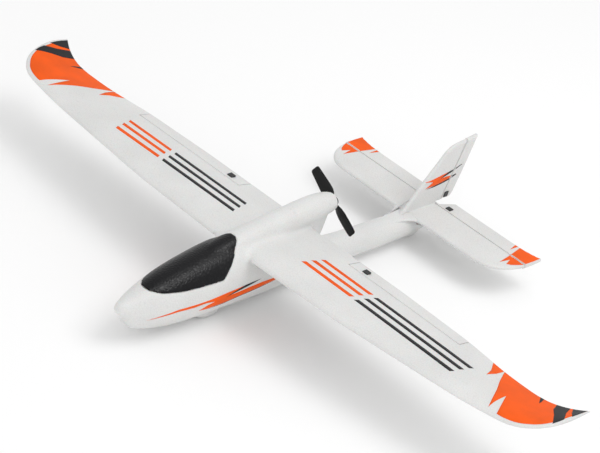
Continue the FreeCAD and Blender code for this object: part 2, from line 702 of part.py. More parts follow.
def build_wing_fixings():
    """Carbon spar, plywood tongue and the two nylon screws that lock the panels to it."""
    reach, station, radius = dim("spar_half_length"), dim("spar_station"), dim("spar_radius")
    start = Vector(-reach, station, dim("spar_height"))
    spar_place = Placement(start, Rotation(Vector(0, 0, 1), Vector(1, 0, 0)))
    tube = primitive("Part::Cylinder", "spar_tube", spar_place, Radius="driving_dimensions.spar_radius",
                     Height="2 * driving_dimensions.spar_half_length")
    bore = primitive("Part::Cylinder", "spar_bore", spar_place,
                     Radius="driving_dimensions.spar_radius - 0.8",
                     Height="2 * driving_dimensions.spar_half_length")
    node(boolean("Part::Cut", "spar", tube, bore), "wing_spar")
    y0, y1, z0, z1 = TONGUE
    screw_x, screw_y = LOCK_SCREW
    screws, heads = [], []
    for x in (screw_x, -screw_x):
        screws.append(cylinder((x, screw_y, HEAD_TOP), (x, screw_y, z1), 1))
        heads.append(cylinder((x, screw_y, HEAD_TOP - 1), (x, screw_y, HEAD_TOP + 0.05), 2))
    tongue = box((-TONGUE_REACH, y0, z0), (TONGUE_REACH, y1, z1))
    shape_node("wing_tongue", tongue.cut(screws[0]).cut(screws[1]))
    shape_node("wing_screws", Part.makeCompound([shank.fuse(head) for shank, head in zip(screws, heads)]))


def build_power_train():
    """Motor, shaft and propeller on the pod's axis."""
    z, radius, shaft_radius = dim("motor_height"), dim("motor_radius"), dim("shaft_radius")

    def disc(start, end, size):
        return cylinder((0, start, z), (0, end, z), size)

    mount = disc(MOUNT_FRONT, MOUNT_REAR, radius + 0.7).cut(disc(MOUNT_FRONT, MOUNT_REAR, 2.6))
    screw_spots = [(SCREW_OFFSET, z), (-SCREW_OFFSET, z)]
    shanks = [cylinder((u, MOUNT_FRONT, w), (u, BASE_REAR + 0.4, w), 0.7) for u, w in screw_spots]
    heads = [cylinder((u, BASE_REAR, w), (u, BASE_REAR + 0.6, w), 1.2) for u, w in screw_spots]
    base = disc(MOUNT_REAR, BASE_REAR, radius - 1).fuse(disc(BASE_REAR, BEARING_REAR, 2.3))
    base = base.fuse(disc(STACK_FRONT, STACK_REAR, radius - 1.4))
    base = base.cut(disc(MOUNT_REAR, BEARING_REAR + 0.6, shaft_radius + 0.05))
    for shank in shanks:
        mount, base = mount.cut(shank), base.cut(shank)
    bell_rear = BELL_FRONT + dim("motor_length")
    bell = disc(BELL_FRONT, bell_rear, radius).cut(disc(BELL_FRONT, bell_rear, shaft_radius))
    bell = bell.cut(disc(BELL_FRONT, bell_rear - BELL_END, radius - BELL_WALL))
    shape_node("motor_mount", mount)
    shape_node("motor_stator", base)
    shape_node("motor_bell", bell)
    shape_node("motor_screws", Part.makeCompound([a.fuse(b) for a, b in zip(shanks, heads)]))
    shaft_place = Placement(Vector(0, SHAFT_FRONT, z), Rotation(Vector(0, 0, 1), Vector(0, 1, 0)))
    shaft = primitive("Part::Cylinder", "shaft", shaft_place, Radius="driving_dimensions.shaft_radius",
                      Height="driving_dimensions.prop_station + driving_dimensions.prop_hub_length / 2"
                             f" - {SHAFT_FRONT - SHAFT_OVERHANG}")
    node(shaft, "motor_shaft")
    station = dim("prop_station")
    shape_node("propeller", propeller(station, z))
    collar_front = station + dim("prop_hub_length") / 2
    collar_rear = collar_front + COLLAR_LENGTH
    collar = disc(collar_front, collar_rear, COLLAR_RADIUS)
    shape_node("prop_collar", collar.cut(disc(collar_front, collar_rear, shaft_radius)))
    leads = []
    for dx in (-LEAD_SPACING, 0, LEAD_SPACING):
        leads.append(rod([(dx, y, height) for y, height in MOTOR_LEAD_RUN], 0.5))
    shape_node("motor_leads", Part.makeCompound(leads))


def propeller(station, z):
    """Two-blade propeller: each blade is a twisted loft out from the hub."""
    blades = []
    for turn in (0, 180):
        sections = []
        for radius, chord, thick in BLADE_ROWS:
            helix = math.atan(dim("prop_pitch") / (2 * math.pi * radius))
            sections.append(blade_section(radius, chord, thick, min(helix, math.radians(ROOT_PITCH_ANGLE))))
        blade = Part.makeLoft(sections, True, True)
        blade.rotate(Vector(0, 0, 0), Vector(0, 1, 0), -PROP_REST_ANGLE + turn)
        blades.append(blade)
    half = dim("prop_hub_length") / 2
    hub = cylinder((0, -half, 0), (0, half, 0), dim("prop_hub_radius"))
    prop = hub.fuse(blades[0]).fuse(blades[1])
    prop = prop.cut(cylinder((0, -half, 0), (0, half, 0), dim("shaft_radius")))
    prop.translate(Vector(0, station, z))
    return prop


def blade_section(radius, chord, thick, pitch):
    """Oval blade section at one radius, turned to its pitch."""
    points = []
    for i in range(12):
        angle = 2 * math.pi * i / 12
        along, out = chord / 2 * math.cos(angle), thick / 2 * math.sin(angle)
        y = -along * math.sin(pitch) + out * math.cos(pitch)
        z = along * math.cos(pitch) + out * math.sin(pitch)
        points.append(Vector(radius, y, z))
    curve = Part.BSplineCurve()
    curve.interpolate(points, PeriodicFlag=True)
    return Part.Wire([curve.toShape()])


def build_equipment():
    """Battery, receiver board and servos' support in the equipment bay."""
    floor, thick = dim("bay_floor"), dim("tray_thickness")
    top = floor + thick
    tray_place = Placement(Vector(-dim("tray_width") / 2, TRAY_FRONT, floor), Rotation())
    tray = primitive("Part::Box", "tray", tray_place,
                     Length="driving_dimensions.tray_width", Height="driving_dimensions.tray_thickness")
    tray.Width = TRAY_LENGTH
    node(tray, "equipment_tray")
    half = dim("battery_width") / 2
    battery = primitive("Part::Box", "cells", Placement(Vector(-half, BATTERY_FRONT, top), Rotation()),
                        Length="driving_dimensions.battery_width", Width="driving_dimensions.battery_length",
                        Height="driving_dimensions.battery_height")
    rounded = doc.addObject("Part::Fillet", "battery_pack")
    rounded.Base = battery
    rounded.Edges = [(i, BATTERY_ROUND, BATTERY_ROUND) for i in range(1, 13)]
    doc.recompute()
    node(rounded, "battery")
    high, side = top + dim("battery_height"), half + STRAP_THICKNESS
    strap = box((-side, STRAP_FRONT, top), (side, STRAP_REAR, high + STRAP_THICKNESS))
    around = box((-half - 0.1, STRAP_FRONT - 1, top - 1), (half + 0.1, STRAP_REAR + 1, high + 0.1))
    shape_node("battery_strap", strap.cut(around))
    build_board(top)
    block_x, block_y, width, length = SERVO_BLOCK
    block = primitive("Part::Box", "block", Placement(Vector(block_x, block_y, floor), Rotation()))
    block.Length, block.Width = width, length
    block.Height = SERVOS["elevator"][0][2] - dim("servo_width") / 2 - floor
    node(block, "servo_block")


def build_board(top):
    """Receiver board on foam tape, with the battery's plug and lead ahead of it."""
    face = top + TAPE_THICKNESS + BOARD_THICKNESS
    shape_node("board_tape", box((1 - BOARD_HALF_WIDTH, BOARD_FRONT + 2, top),
                                 (BOARD_HALF_WIDTH - 1, BOARD_REAR - 2, top + TAPE_THICKNESS)))
    board = box((-BOARD_HALF_WIDTH, BOARD_FRONT, top + TAPE_THICKNESS), (BOARD_HALF_WIDTH, BOARD_REAR, face))
    processor = box((-6, BOARD_FRONT + 4, face), (2, BOARD_FRONT + 12, face + 1.2))
    driver = box((-4, BOARD_REAR - 12, face), (4, BOARD_REAR - 4, face + 0.6))
    sockets = box((4, BOARD_FRONT + 2, face), (8, BOARD_FRONT + 14, face + 3.2))
    shape_node("receiver_board", board.multiFuse([processor, driver, sockets]))
    rear, middle = BATTERY_FRONT + dim("battery_length"), top + 5
    shape_node("battery_plug", box((-3, rear + 3, middle - 2), (3, rear + 9, middle + 2)))
    leads = []
    for dx in (-LEAD_SPACING, LEAD_SPACING):
        leads.append(cylinder((dx, rear, middle), (dx, rear + 3, middle), 0.6))
        end = BOARD_FRONT + 1
        leads.append(rod([(dx, rear + 9, middle), (dx, end, middle), (dx, end, face)], 0.6))
    shape_node("battery_leads", Part.makeCompound(leads))


def build_skids():
    """Plastic skids under the cabin and the tail."""
    hull = hull_loft()
    pad = box((-PAD_HALF_WIDTH, PAD_FRONT, 0), (PAD_HALF_WIDTH, PAD_REAR, PAD_TOP))
    pad = pad.makeFillet(PAD_CORNER, [e for e in pad.Edges if upright(e)])
    pad = pad.makeFillet(PAD_EDGE, [e for e in pad.Edges if e.BoundBox.ZMax < 0.01])
    shape_node("belly_skid", pad.cut(hull))
    keel = prism(TAIL_KEEL, -KEEL_HALF, KEEL_HALF)
    shape_node("tail_skid", keel.cut(hull))


def main():
    build_fuselage()
    build_hatch()
    build_wings()
    build_tail()
    build_wing_fixings()
    build_power_train()
    build_linkages()
    build_equipment()
    build_skids()
    doc.recompute()


main()


def export_all():
    """Check every object and write each sub-part to its STEP file."""
    for obj in doc.Objects:
        if "Invalid" in obj.State or "Error" in obj.State:
            raise RuntimeError(f"{obj.Label} did not recompute: {obj.State}")
    os.makedirs("parts", exist_ok=True)
    for obj in nodes:
        if obj.Shape.isNull() or not obj.Shape.isValid():
            raise RuntimeError(f"{obj.Label} has a bad shape")
        obj.Shape.exportStep(f"parts/{obj.Label}.step")


export_all()
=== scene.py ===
"""Looks of the foam airplane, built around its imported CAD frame. Metres; +X port, -Y forward, +Z up."""
import math

import bmesh
import bpy
import numpy as np
from mathutils import Matrix, Vector
from mathutils.bvhtree import BVHTree
from mathutils.geometry import delaunay_2d_cdt
from mathutils.kdtree import KDTree


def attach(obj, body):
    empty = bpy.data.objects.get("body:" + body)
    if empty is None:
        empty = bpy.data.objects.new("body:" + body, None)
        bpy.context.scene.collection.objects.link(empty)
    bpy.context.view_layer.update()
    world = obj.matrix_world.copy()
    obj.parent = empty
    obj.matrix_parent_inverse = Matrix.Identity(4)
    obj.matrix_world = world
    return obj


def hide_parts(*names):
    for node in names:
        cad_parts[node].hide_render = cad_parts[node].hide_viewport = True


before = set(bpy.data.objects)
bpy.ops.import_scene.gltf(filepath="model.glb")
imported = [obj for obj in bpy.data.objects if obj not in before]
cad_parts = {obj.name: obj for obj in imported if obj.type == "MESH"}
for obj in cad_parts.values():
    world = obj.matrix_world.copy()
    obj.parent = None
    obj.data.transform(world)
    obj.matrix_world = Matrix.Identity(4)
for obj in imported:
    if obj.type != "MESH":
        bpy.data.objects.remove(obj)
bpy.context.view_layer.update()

MM = 0.001


# ---------------------------------------------------------------- materials

def material(name, color, rough=0.5, metal=0.0, **sockets):
    """Principled material; other sockets are given by name with underscores for spaces."""
    mat = bpy.data.materials.new(name)
    mat.use_nodes = True
    shader = mat.node_tree.nodes["Principled BSDF"]
    shader.inputs["Base Color"].default_value = (*color, 1)
    shader.inputs["Roughness"].default_value = rough
    shader.inputs["Metallic"].default_value = metal
    for key, value in sockets.items():
        shader.inputs[key.replace("_", " ")].default_value = value
    return mat


def nodes_of(mat):
    tree = mat.node_tree
    return tree, tree.nodes["Principled BSDF"]


def add(tree, kind, **values):
    """New shader node: plain properties by name, sockets by name after an underscore."""
    made = tree.nodes.new(kind)
    for key, value in values.items():
        if key[0] == "_":
            made.inputs[key[1:]].default_value = value
        else:
            setattr(made, key, value)
    return made


def texture(tree, kind, scale, stretch=(1, 1, 1), **values):
    """Procedural texture on object coordinates."""
    coords = add(tree, "ShaderNodeTexCoord")
    place = add(tree, "ShaderNodeMapping")
    place.inputs["Scale"].default_value = stretch
    tree.links.new(coords.outputs["Object"], place.inputs["Vector"])
    made = add(tree, kind, **values)
    made.inputs["Scale"].default_value = scale
    tree.links.new(place.outputs["Vector"], made.inputs["Vector"])
    return made


def ramp(tree, source, low, high, dark, light):
    """Colour ramp between two positions of a value."""
    made = add(tree, "ShaderNodeValToRGB")
    made.color_ramp.elements[0].position = low
    made.color_ramp.elements[0].color = (*dark, 1)
    made.color_ramp.elements[1].position = high
    made.color_ramp.elements[1].color = (*light, 1)
    tree.links.new(source, made.inputs["Fac"])
    return made


def bump(tree, shader, height, strength, distance, before=None):
    """Bump node on the shader's normal."""
    made = add(tree, "ShaderNodeBump", _Strength=strength, _Distance=distance)
    tree.links.new(height, made.inputs["Height"])
    if before:
        tree.links.new(before.outputs["Normal"], made.inputs["Normal"])
    tree.links.new(made.outputs["Normal"], shader.inputs["Normal"])
    return made


def foam(name, dark, light, rough, bead, depth, **sockets):
    """Moulded beaded foam: packed beads with fine seams between them, and a faint change of tone."""
    mat = material(name, light, rough, **sockets)
    tree, shader = nodes_of(mat)
    beads = texture(tree, "ShaderNodeTexVoronoi", 1 / bead, feature="DISTANCE_TO_EDGE")
    tone = texture(tree, "ShaderNodeTexNoise", 28, _Detail=3)
    shade = ramp(tree, tone.outputs["Fac"], 0.3, 0.7, dark, light)
    seam = ramp(tree, beads.outputs["Distance"], 0.0, 0.09, (0.86, 0.86, 0.86), (1, 1, 1))
    mixed = add(tree, "ShaderNodeMixRGB", blend_type="MULTIPLY", _Fac=0.7)
    tree.links.new(shade.outputs["Color"], mixed.inputs["Color1"])
    tree.links.new(seam.outputs["Color"], mixed.inputs["Color2"])
    tree.links.new(mixed.outputs["Color"], shader.inputs["Base Color"])
    domes = ramp(tree, beads.outputs["Distance"], 0.0, 0.35, (0, 0, 0), (1, 1, 1))
    grain = texture(tree, "ShaderNodeTexNoise", 1500, _Detail=2)
    first = bump(tree, shader, domes.outputs["Color"], 0.5, depth)
    bump(tree, shader, grain.outputs["Fac"], 0.12, 0.00008, first)
    return mat


def moulded(name, color, rough=0.42, grain=900, depth=0.00003, **sockets):
    """Moulded plastic: fine grain, faint tone and roughness change."""
    mat = material(name, color, rough, **sockets)
    tree, shader = nodes_of(mat)
    noise = texture(tree, "ShaderNodeTexNoise", grain, _Detail=3)
    broad = texture(tree, "ShaderNodeTexNoise", 60, _Detail=2)
    shade = ramp(tree, broad.outputs["Fac"], 0.3, 0.7, tuple(0.86 * c for c in color), color)
    tree.links.new(shade.outputs["Color"], shader.inputs["Base Color"])
    gloss = add(tree, "ShaderNodeMapRange")
    gloss.inputs["To Min"].default_value = rough - 0.06
    gloss.inputs["To Max"].default_value = rough + 0.08
    tree.links.new(broad.outputs["Fac"], gloss.inputs["Value"])
    tree.links.new(gloss.outputs["Result"], shader.inputs["Roughness"])
    bump(tree, shader, noise.outputs["Fac"], 0.3, depth)
    return mat


WHITE_FOAM = foam("white_foam", (0.69, 0.69, 0.68), (0.74, 0.74, 0.73), 0.5, 0.0019, 0.00018,
                  Specular_IOR_Level=0.35, Subsurface_Weight=0.08, Subsurface_Scale=0.002)
BLACK_FOAM = foam("black_foam", (0.007, 0.007, 0.008), (0.010, 0.010, 0.011), 0.3, 0.0027, 0.00028,
                  Specular_IOR_Level=0.14)
ORANGE = moulded("orange_film", (0.95, 0.115, 0.006), 0.5, 1400, 0.00002, Specular_IOR_Level=0.12)
INK = moulded("black_film", (0.015, 0.015, 0.017), 0.45, 1400, 0.00002, Specular_IOR_Level=0.2)
PROP_BLACK = moulded("prop_plastic", (0.007, 0.007, 0.0075), 0.38, Specular_IOR_Level=0.25)
NYLON_BLACK = moulded("horn_nylon", (0.012, 0.012, 0.012), 0.45)
NYLON_WHITE = moulded("arm_nylon", (0.75, 0.75, 0.72), 0.4)
SERVO_BLUE = moulded("servo_case", (0.03, 0.09, 0.3), 0.3, Transmission_Weight=0.1)
SKID = moulded("skid_plastic", (0.72, 0.72, 0.71), 0.45)
TRAY = moulded("tray_plastic", (0.05, 0.05, 0.055), 0.45)
TUBE = moulded("tube_nylon", (0.7, 0.7, 0.66), 0.35)
WRAP = moulded("battery_wrap", (0.04, 0.07, 0.24), 0.22, Coat_Weight=0.4)
STRAP = moulded("strap_tape", (0.02, 0.02, 0.02), 0.9, 2200, 0.0002, Sheen_Weight=0.4)
BOARD = moulded("board_lacquer", (0.02, 0.13, 0.05), 0.3, Coat_Weight=0.5)
CARBON = moulded("carbon_tube", (0.02, 0.02, 0.02), 0.3, Coat_Weight=0.3)
LEAD = moulded("lead_sleeve", (0.45, 0.02, 0.015), 0.5)
PLUG = moulded("plug_nylon", (0.72, 0.68, 0.55), 0.45)
WOOD = moulded("plywood", (0.5, 0.33, 0.17), 0.7, 700, 0.00008)
STEEL = moulded("bright_steel", (0.6, 0.6, 0.62), 0.28, Metallic=1.0)
ALLOY = moulded("machined_alloy", (0.72, 0.72, 0.74), 0.3, Metallic=1.0)
BELL = moulded("motor_bell_black", (0.03, 0.03, 0.035), 0.3, Metallic=0.7)


# ---------------------------------------------------------------- mesh helpers

def link(obj):
    bpy.context.scene.collection.objects.link(obj)
    return obj


def shade(mesh, angle=35):
    """Smooth shading with sharp edges over an angle in degrees."""
    made = bmesh.new()
    made.from_mesh(mesh)
    bmesh.ops.recalc_face_normals(made, faces=made.faces)
    limit = math.radians(angle)
    for face in made.faces:
        face.smooth = True
    for edge in made.edges:
        edge.smooth = edge.calc_face_angle(0) < limit
    made.to_mesh(mesh)
    made.free()


def mesh_object(name, points, faces, mat, scale=MM):
    """Mesh object from points in millimetres."""
    mesh = bpy.data.meshes.new(name)
    mesh.from_pydata((np.asarray(points, float) * scale).tolist(), [], faces)
    mesh.validate()
    shade(mesh)
    obj = link(bpy.data.objects.new(name, mesh))
    if mat:
        mesh.materials.append(mat)
    return obj


def loft(name, loops, mat):
    """Closed skin through loops that all have the same number of points, with flat ends."""
    count = len(loops[0])
    points = [p for loop in loops for p in loop]
    faces = []
    for k in range(len(loops) - 1):
        for i in range(count):
            j = (i + 1) % count
            faces.append((k * count + i, k * count + j, (k + 1) * count + j, (k + 1) * count + i))
    faces.append(tuple(range(count)))
    faces.append(tuple((len(loops) - 1) * count + i for i in range(count)))
    return mesh_object(name, points, faces, mat)


def applied(obj):
    """The object's modifiers made real in its mesh."""
    bpy.context.view_layer.update()
    done = bpy.data.meshes.new_from_object(obj.evaluated_get(bpy.context.evaluated_depsgraph_get()))
    obj.modifiers.clear()
    obj.data = done
    return obj


def carve(obj, *tools):
    """Cuts the tools out of the object."""
    for tool in tools:
        cut = obj.modifiers.new("cut", "BOOLEAN")
        cut.operation, cut.solver, cut.object = "DIFFERENCE", "EXACT", tool
    applied(obj)
    for tool in tools:
        bpy.data.objects.remove(tool)
    shade(obj.data)
    return obj


def block(low, high):
    """Box-shaped cutting tool between two corners in millimetres."""
    corners = [(x, y, z) for x in (low[0], high[0]) for y in (low[1], high[1]) for z in (low[2], high[2])]
    faces = [(0, 1, 3, 2), (4, 6, 7, 5), (0, 4, 5, 1), (2, 3, 7, 6), (0, 2, 6, 4), (1, 5, 7, 3)]
    return mesh_object("tool", corners, faces, None)


def place(obj, body, slot, *nodes):
    """The piece rides on a body and stands for CAD nodes, which are hidden. The slot argument is not used.
    """
    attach(obj, body)
    if nodes:
        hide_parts(*nodes)
    return obj


# ---------------------------------------------------------------- wings

SPAN, ROOT, TIP_START = 300.0, 23.3, 262.0
ROWS = np.array([
    (ROOT, -92.0, -1.2, 8.6), (112, -88.6, -0.9, 8.0), (184, -80.3, -3.4, 6.8),
    (224, -75.7, -8.6, 6.0), (TIP_START, -69.6, -10.6, 5.0),
])
TIP_FRONT, TIP_REAR, TIP_THICK, TIP_FULLNESS = -19.0, 2.5, 3.0, 2.25
LEVEL, UPPER, EDGE = 57.0, 0.8, 1.0
RISE, RISE_START, RISE_POWER = 9.5, 200.0, 4
HINGE_CUT, AILERON_FRONT = -18.4, -17.3
AILERON_IN, AILERON_OUT, AILERON_GAP = 63.0, 184.0, 0.7
SADDLE_LAP = 1.5
EASE_REACH = 10

# boxes cut out of the port wing: aileron bay, servo well, room for the servo's arm, locking screw's hole
WING_CUTS = [
    ((AILERON_IN, HINGE_CUT, 40), (AILERON_OUT, 20, 75)),
    ((63.3, -59.2, 45), (76.7, -36.8, 61.2)),
    ((75.4, -58, 45), (81.2, -38, 59.4)),
    ((29.8, -80.2, 40), (34.2, -75.8, 55)),
]


def plan_table():
    """Wing outline and thickness against distance out, with the corners of the plan eased."""
    out = np.linspace(ROOT, SPAN, 1200)
    u = np.clip((out - TIP_START) / (SPAN - TIP_START), 0, 1)
    sweep = 1 - (1 - u ** TIP_FULLNESS) ** (1 / TIP_FULLNESS)
    table = [np.interp(out, ROWS[:, 0], ROWS[:, k]) for k in (1, 2, 3)]
    table[0] += sweep * (TIP_FRONT - ROWS[-1, 1])
    table[1] += u * u * (TIP_REAR - ROWS[-1, 2])
    table[2] += u * (TIP_THICK - ROWS[-1, 3])
    reach = np.minimum(np.minimum(EASE_REACH, out - ROOT), 0.7 * (SPAN - out)) + 1e-6
    eased = []
    for values in table:
        total = np.concatenate([[0], np.cumsum((values[1:] + values[:-1]) / 2 * np.diff(out))])
        high = np.interp(out + reach, out, total)
        low = np.interp(out - reach, out, total)
        eased.append(np.where(reach > 0.5, (high - low) / (2 * reach), values))
    return out, eased


PLAN_X, PLAN = plan_table()


def plan(x):
    """Front edge, rear edge and thickness at a distance out."""
    return [float(np.interp(x, PLAN_X, values)) for values in PLAN]


def skin(x, y, sign):
    """Height of the wing's upper (1) or lower (-1) skin."""
    front, rear, thick = plan(x)
    f = min(1.0, max(0.0, (y - front) / (rear - front)))
    curve = 2.969 * math.sqrt(f) - f * (1.26 + f * (3.516 - f * (2.843 - 1.036 * f)))
    share = UPPER if sign > 0 else 1 - UPPER
    rise = RISE * (max(0.0, x - RISE_START) / (SPAN - RISE_START)) ** RISE_POWER
    return LEVEL + rise + sign * (share * thick * curve + EDGE / 2 * f)


def wing_loop(x, start=None, shrink=1.0, count=30):
    """Section of the wing, or of what lies behind a start."""
    front, rear, _ = plan(x)
    first = front if start is None else start + 0.9
    if shrink < 1:
        middle = (front + rear) / 2
        front, rear = middle + (front - middle) * 0.93, middle + (rear - middle) * 0.97
        first = front
    spread = [(1 - math.cos(math.pi * i / count)) / 2 for i in range(count + 1)]
    ys = [first + (rear - 0.3 - first) * t for t in spread]
    centre = (skin(x, rear, 1) + skin(x, rear, -1)) / 2

    def point(y, sign):
        return (x, y, centre + (skin(x, y, sign) - centre) * shrink)

    upper = [point(y, 1) for y in ys]
    lower = [point(y, -1) for y in reversed(ys)]
    edge = [(x, rear, centre + 0.22 * shrink), (x, rear, centre - 0.22 * shrink)]
    if start is None:
        return upper + edge + lower[:-1]
    top, low = upper[0][2], lower[-1][2]
    nose = [(x, start + 0.25, low + 0.25), (x, start, low + 0.7),
            (x, start, top - 1.1), (x, start + 0.25, top - 0.35)]
    return upper + edge + lower + nose


def mirror(points, side):
    return [(side * x, y, z) for x, y, z in points]


def wing(side, name):
    """Wing panel with its aileron bay and servo well cut out, and its aileron."""
    stations = list(np.linspace(ROOT - SADDLE_LAP, TIP_START, 96)) + [
        TIP_START + (SPAN - 0.25 - TIP_START) * math.sin(math.pi / 2 * i / 26) for i in range(1, 27)]
    loops = [mirror(wing_loop(x), side) for x in stations]
    loops.append(mirror([(SPAN, y, z) for _, y, z in wing_loop(SPAN - 0.25, shrink=0.5)], side))
    panel = loft(f"wing_{name}_foam", loops, WHITE_FOAM)
    tools = []
    for low, high in WING_CUTS:
        ends = sorted((side * low[0], side * high[0]))
        tools.append(block((ends[0], *low[1:]), (ends[1], *high[1:])))
    carve(panel, *tools)
    place(panel, "airframe", "foam_white", f"wing_{name}")
    stations = np.linspace(AILERON_IN + AILERON_GAP, AILERON_OUT - AILERON_GAP, 50)
    loops = [mirror(wing_loop(x, AILERON_FRONT), side) for x in stations]
    moving = loft(f"aileron_{name}_foam", loops, WHITE_FOAM)
    place(moving, f"aileron_{name}_surface", "foam_white", f"aileron_{name}")
    return panel


# ---------------------------------------------------------------- tail slabs

def curve_through(points, steps=6):
    """Points on a smooth curve through the given ones; a point with a third value True stays a corner."""
    out = []
    for i in range(len(points) - 1):
        corner_a, corner_b = len(points[i]) > 2, len(points[i + 1]) > 2
        b, c = np.array(points[i][:2], float), np.array(points[i + 1][:2], float)
        a = np.array(points[i - 1][:2], float) if i and not corner_a else b - (c - b)
        d = np.array(points[i + 2][:2], float) if i + 2 < len(points) and not corner_b else c + (c - b)
        for k in range(steps):
            t = k / steps
            out.append(0.5 * (2 * b + (c - a) * t + (2 * a - 5 * b + 4 * c - d) * t * t
                              + (3 * b - a - 3 * c + d) * t ** 3))
    out.append(np.array(points[-1][:2], float))
    return out


def inset(outline, depths):
    """Outline moved inwards by a depth at each point."""
    pts = np.array(outline)
    area = 0.5 * np.sum(pts[:, 0] * np.roll(pts[:, 1], -1) - np.roll(pts[:, 0], -1) * pts[:, 1])
    before, after = pts - np.roll(pts, 1, axis=0), np.roll(pts, -1, axis=0) - pts
    before /= np.linalg.norm(before, axis=1)[:, None]
    after /= np.linalg.norm(after, axis=1)[:, None]
    turn = 1 if area > 0 else -1

    def normal(way):
        return turn * np.stack([-way[:, 1], way[:, 0]], 1)

    middle = normal(before) + normal(after)
    middle /= np.linalg.norm(middle, axis=1)[:, None]
    reach = np.clip(np.sum(middle * normal(before), axis=1), 0.45, 1)
    return pts + middle * (np.array(depths) / reach)[:, None]


def slab(name, outline, half, level, depth_of, upright=False):
    """Flat foam panel with a rounded rim, lying at a level or standing on the centre plane."""
    kept = [outline[0]]
    for p in outline[1:]:
        if np.linalg.norm(np.array(p) - kept[-1]) > 0.05:
            kept.append(p)
    if np.linalg.norm(np.array(kept[0]) - kept[-1]) < 0.05:
        kept.pop()
    depths = [depth_of(*p) for p in kept]
    loops, steps = [], 6
    for i in range(-steps, steps + 1):
        angle = math.pi / 2 * i / steps
        ring = inset(kept, [d * (1 - math.cos(angle)) for d in depths])
        height = half * math.sin(angle)
        loops.append([(height, u, v) if upright else (u, v, level + height) for u, v in ring])
    made = loft(name, loops, WHITE_FOAM)
    for cap in made.data.polygons[-2:]:
        cap.use_smooth = False
    return made


# how far the tail's rounding reaches in: at free edges, hinges, moving edges, beside the notch and at
# the elevator's tips, then where foam joins foam
RIM, HINGE_RIM, MOVING_RIM, NOTCH_RIM, TIP_RIM = 3.0, 0.45, 1.6, 1.2, 0.8
JOINED_RIM, FOOT_RIM = 0.6, 0.5
SLAB_HALF, TAIL_LEVEL = 2, 28
STAB_REAR, ELEVATOR_FRONT = 187.1, 188.0

# rudder's hinge line in the centre plane: its foot, and how far it runs back over its height
HINGE_Y, HINGE_Z, HINGE_RUN, HINGE_HEIGHT = 193.6, 32, 12.1, 62.5


def rudder_line(z):
    """Where the rudder's hinge line lies at a height."""
    return HINGE_Y + HINGE_RUN * (z - HINGE_Z) / HINGE_HEIGHT


def stab_rim(x, y):
    """Rounding of the tailplane, nearly square where it joins the boom."""
    if y > STAB_REAR - 0.6:
        return HINGE_RIM
    return JOINED_RIM + (RIM - JOINED_RIM) * min(1, max(0, (abs(x) - 9) / 10))


def elevator_rim(x, y):
    if y < ELEVATOR_FRONT + 0.5:
        return HINGE_RIM
    if abs(x) < 12:
        return NOTCH_RIM
    return TIP_RIM if abs(x) > 106 else MOVING_RIM


def fin_rim(y, z):
    if y > rudder_line(z) - 1 and z < 91.5:
        return HINGE_RIM
    return FOOT_RIM if z < 32.5 else RIM


def rudder_rim(y, z):
    return HINGE_RIM if y < rudder_line(z) + 1.2 else MOVING_RIM


def tailplane():
    """Tailplane and the elevator with its notch behind the fin."""
    half = [(0, 148.2), (14, 148.3), (22, 149), (50, 149), (75.6, 149.3), (87.5, 151.4), (95.6, 157.2),
            (102.1, 167), (106.4, 180), (107.4, STAB_REAR)]
    right = curve_through(half)
    outline = [(-u, v) for u, v in reversed(right)] + [tuple(p) for p in right[1:]]
    stab = slab("tailplane_foam", outline, SLAB_HALF, TAIL_LEVEL, stab_rim)
    place(stab, "airframe", "foam_white", "horizontal_stabilizer")
    half = [(4, 191, 1), (11, 206.6, 1), (60, 207), (81, 207.2), (95, 208.6), (107.6, 211.7, 1),
            (107.9, 200), (107.7, ELEVATOR_FRONT, 1)]
    right = curve_through(half, 5)
    outline = [tuple(p) for p in right] + [(-u, v) for u, v in reversed(right)]
    elevator = slab("elevator_foam", outline, SLAB_HALF, TAIL_LEVEL, elevator_rim)
    place(elevator, "elevator_surface", "foam_white", "elevator")
    return stab, elevator


def squared(value, power):
    """A cosine or sine pushed towards 1 or -1, for an oval with fuller corners."""
    return math.copysign(abs(value) ** power, value)


def tail_saddle(front=116, length=35, half_height=1.9):
    """Foam that widens from the boom's top into the tailplane, with a slot for the rudder's wire."""
    ring = [(math.cos(a), math.sin(a)) for a in np.linspace(0, 2 * math.pi, 32, endpoint=False)]
    loops = []
    for y in np.linspace(front, front + length, 24):
        t = (y - front) / length
        width, top = 6.2 + 10.8 * t ** 3.5, 28.6 + 1.35 * min(1, 1.15 * t)
        loops.append([(width * squared(u, 0.7), y, top - half_height + half_height * squared(v, 0.8))
                      for u, v in ring])
    wire_slot = block((-8.1, 110, 18), (-5.9, 153, 36))
    hump = carve(loft("tail_saddle", loops, WHITE_FOAM), wire_slot)
    place(hump, "airframe", "foam_white")


def fin_fillets(radius=2.1, centre=(3.9, 31.9), ends=(149.5, 186.2)):
    """Hollow fillets between the fin and the tailplane's top."""
    (u, v), inner, low = centre, 1.5, 29.6
    bend = [(u - radius * math.sin(a), v - radius * math.cos(a)) for a in np.linspace(0, math.pi / 2, 7)]
    section = [(inner, low), (u, low)] + bend + [(inner, v)]
    for side, name in ((1, "left"), (-1, "right")):
        loops = [[(side * x, y, z) for x, z in section] for y in ends]
        place(loft(f"fin_fillet_{name}", loops, WHITE_FOAM), "airframe", "foam_white")


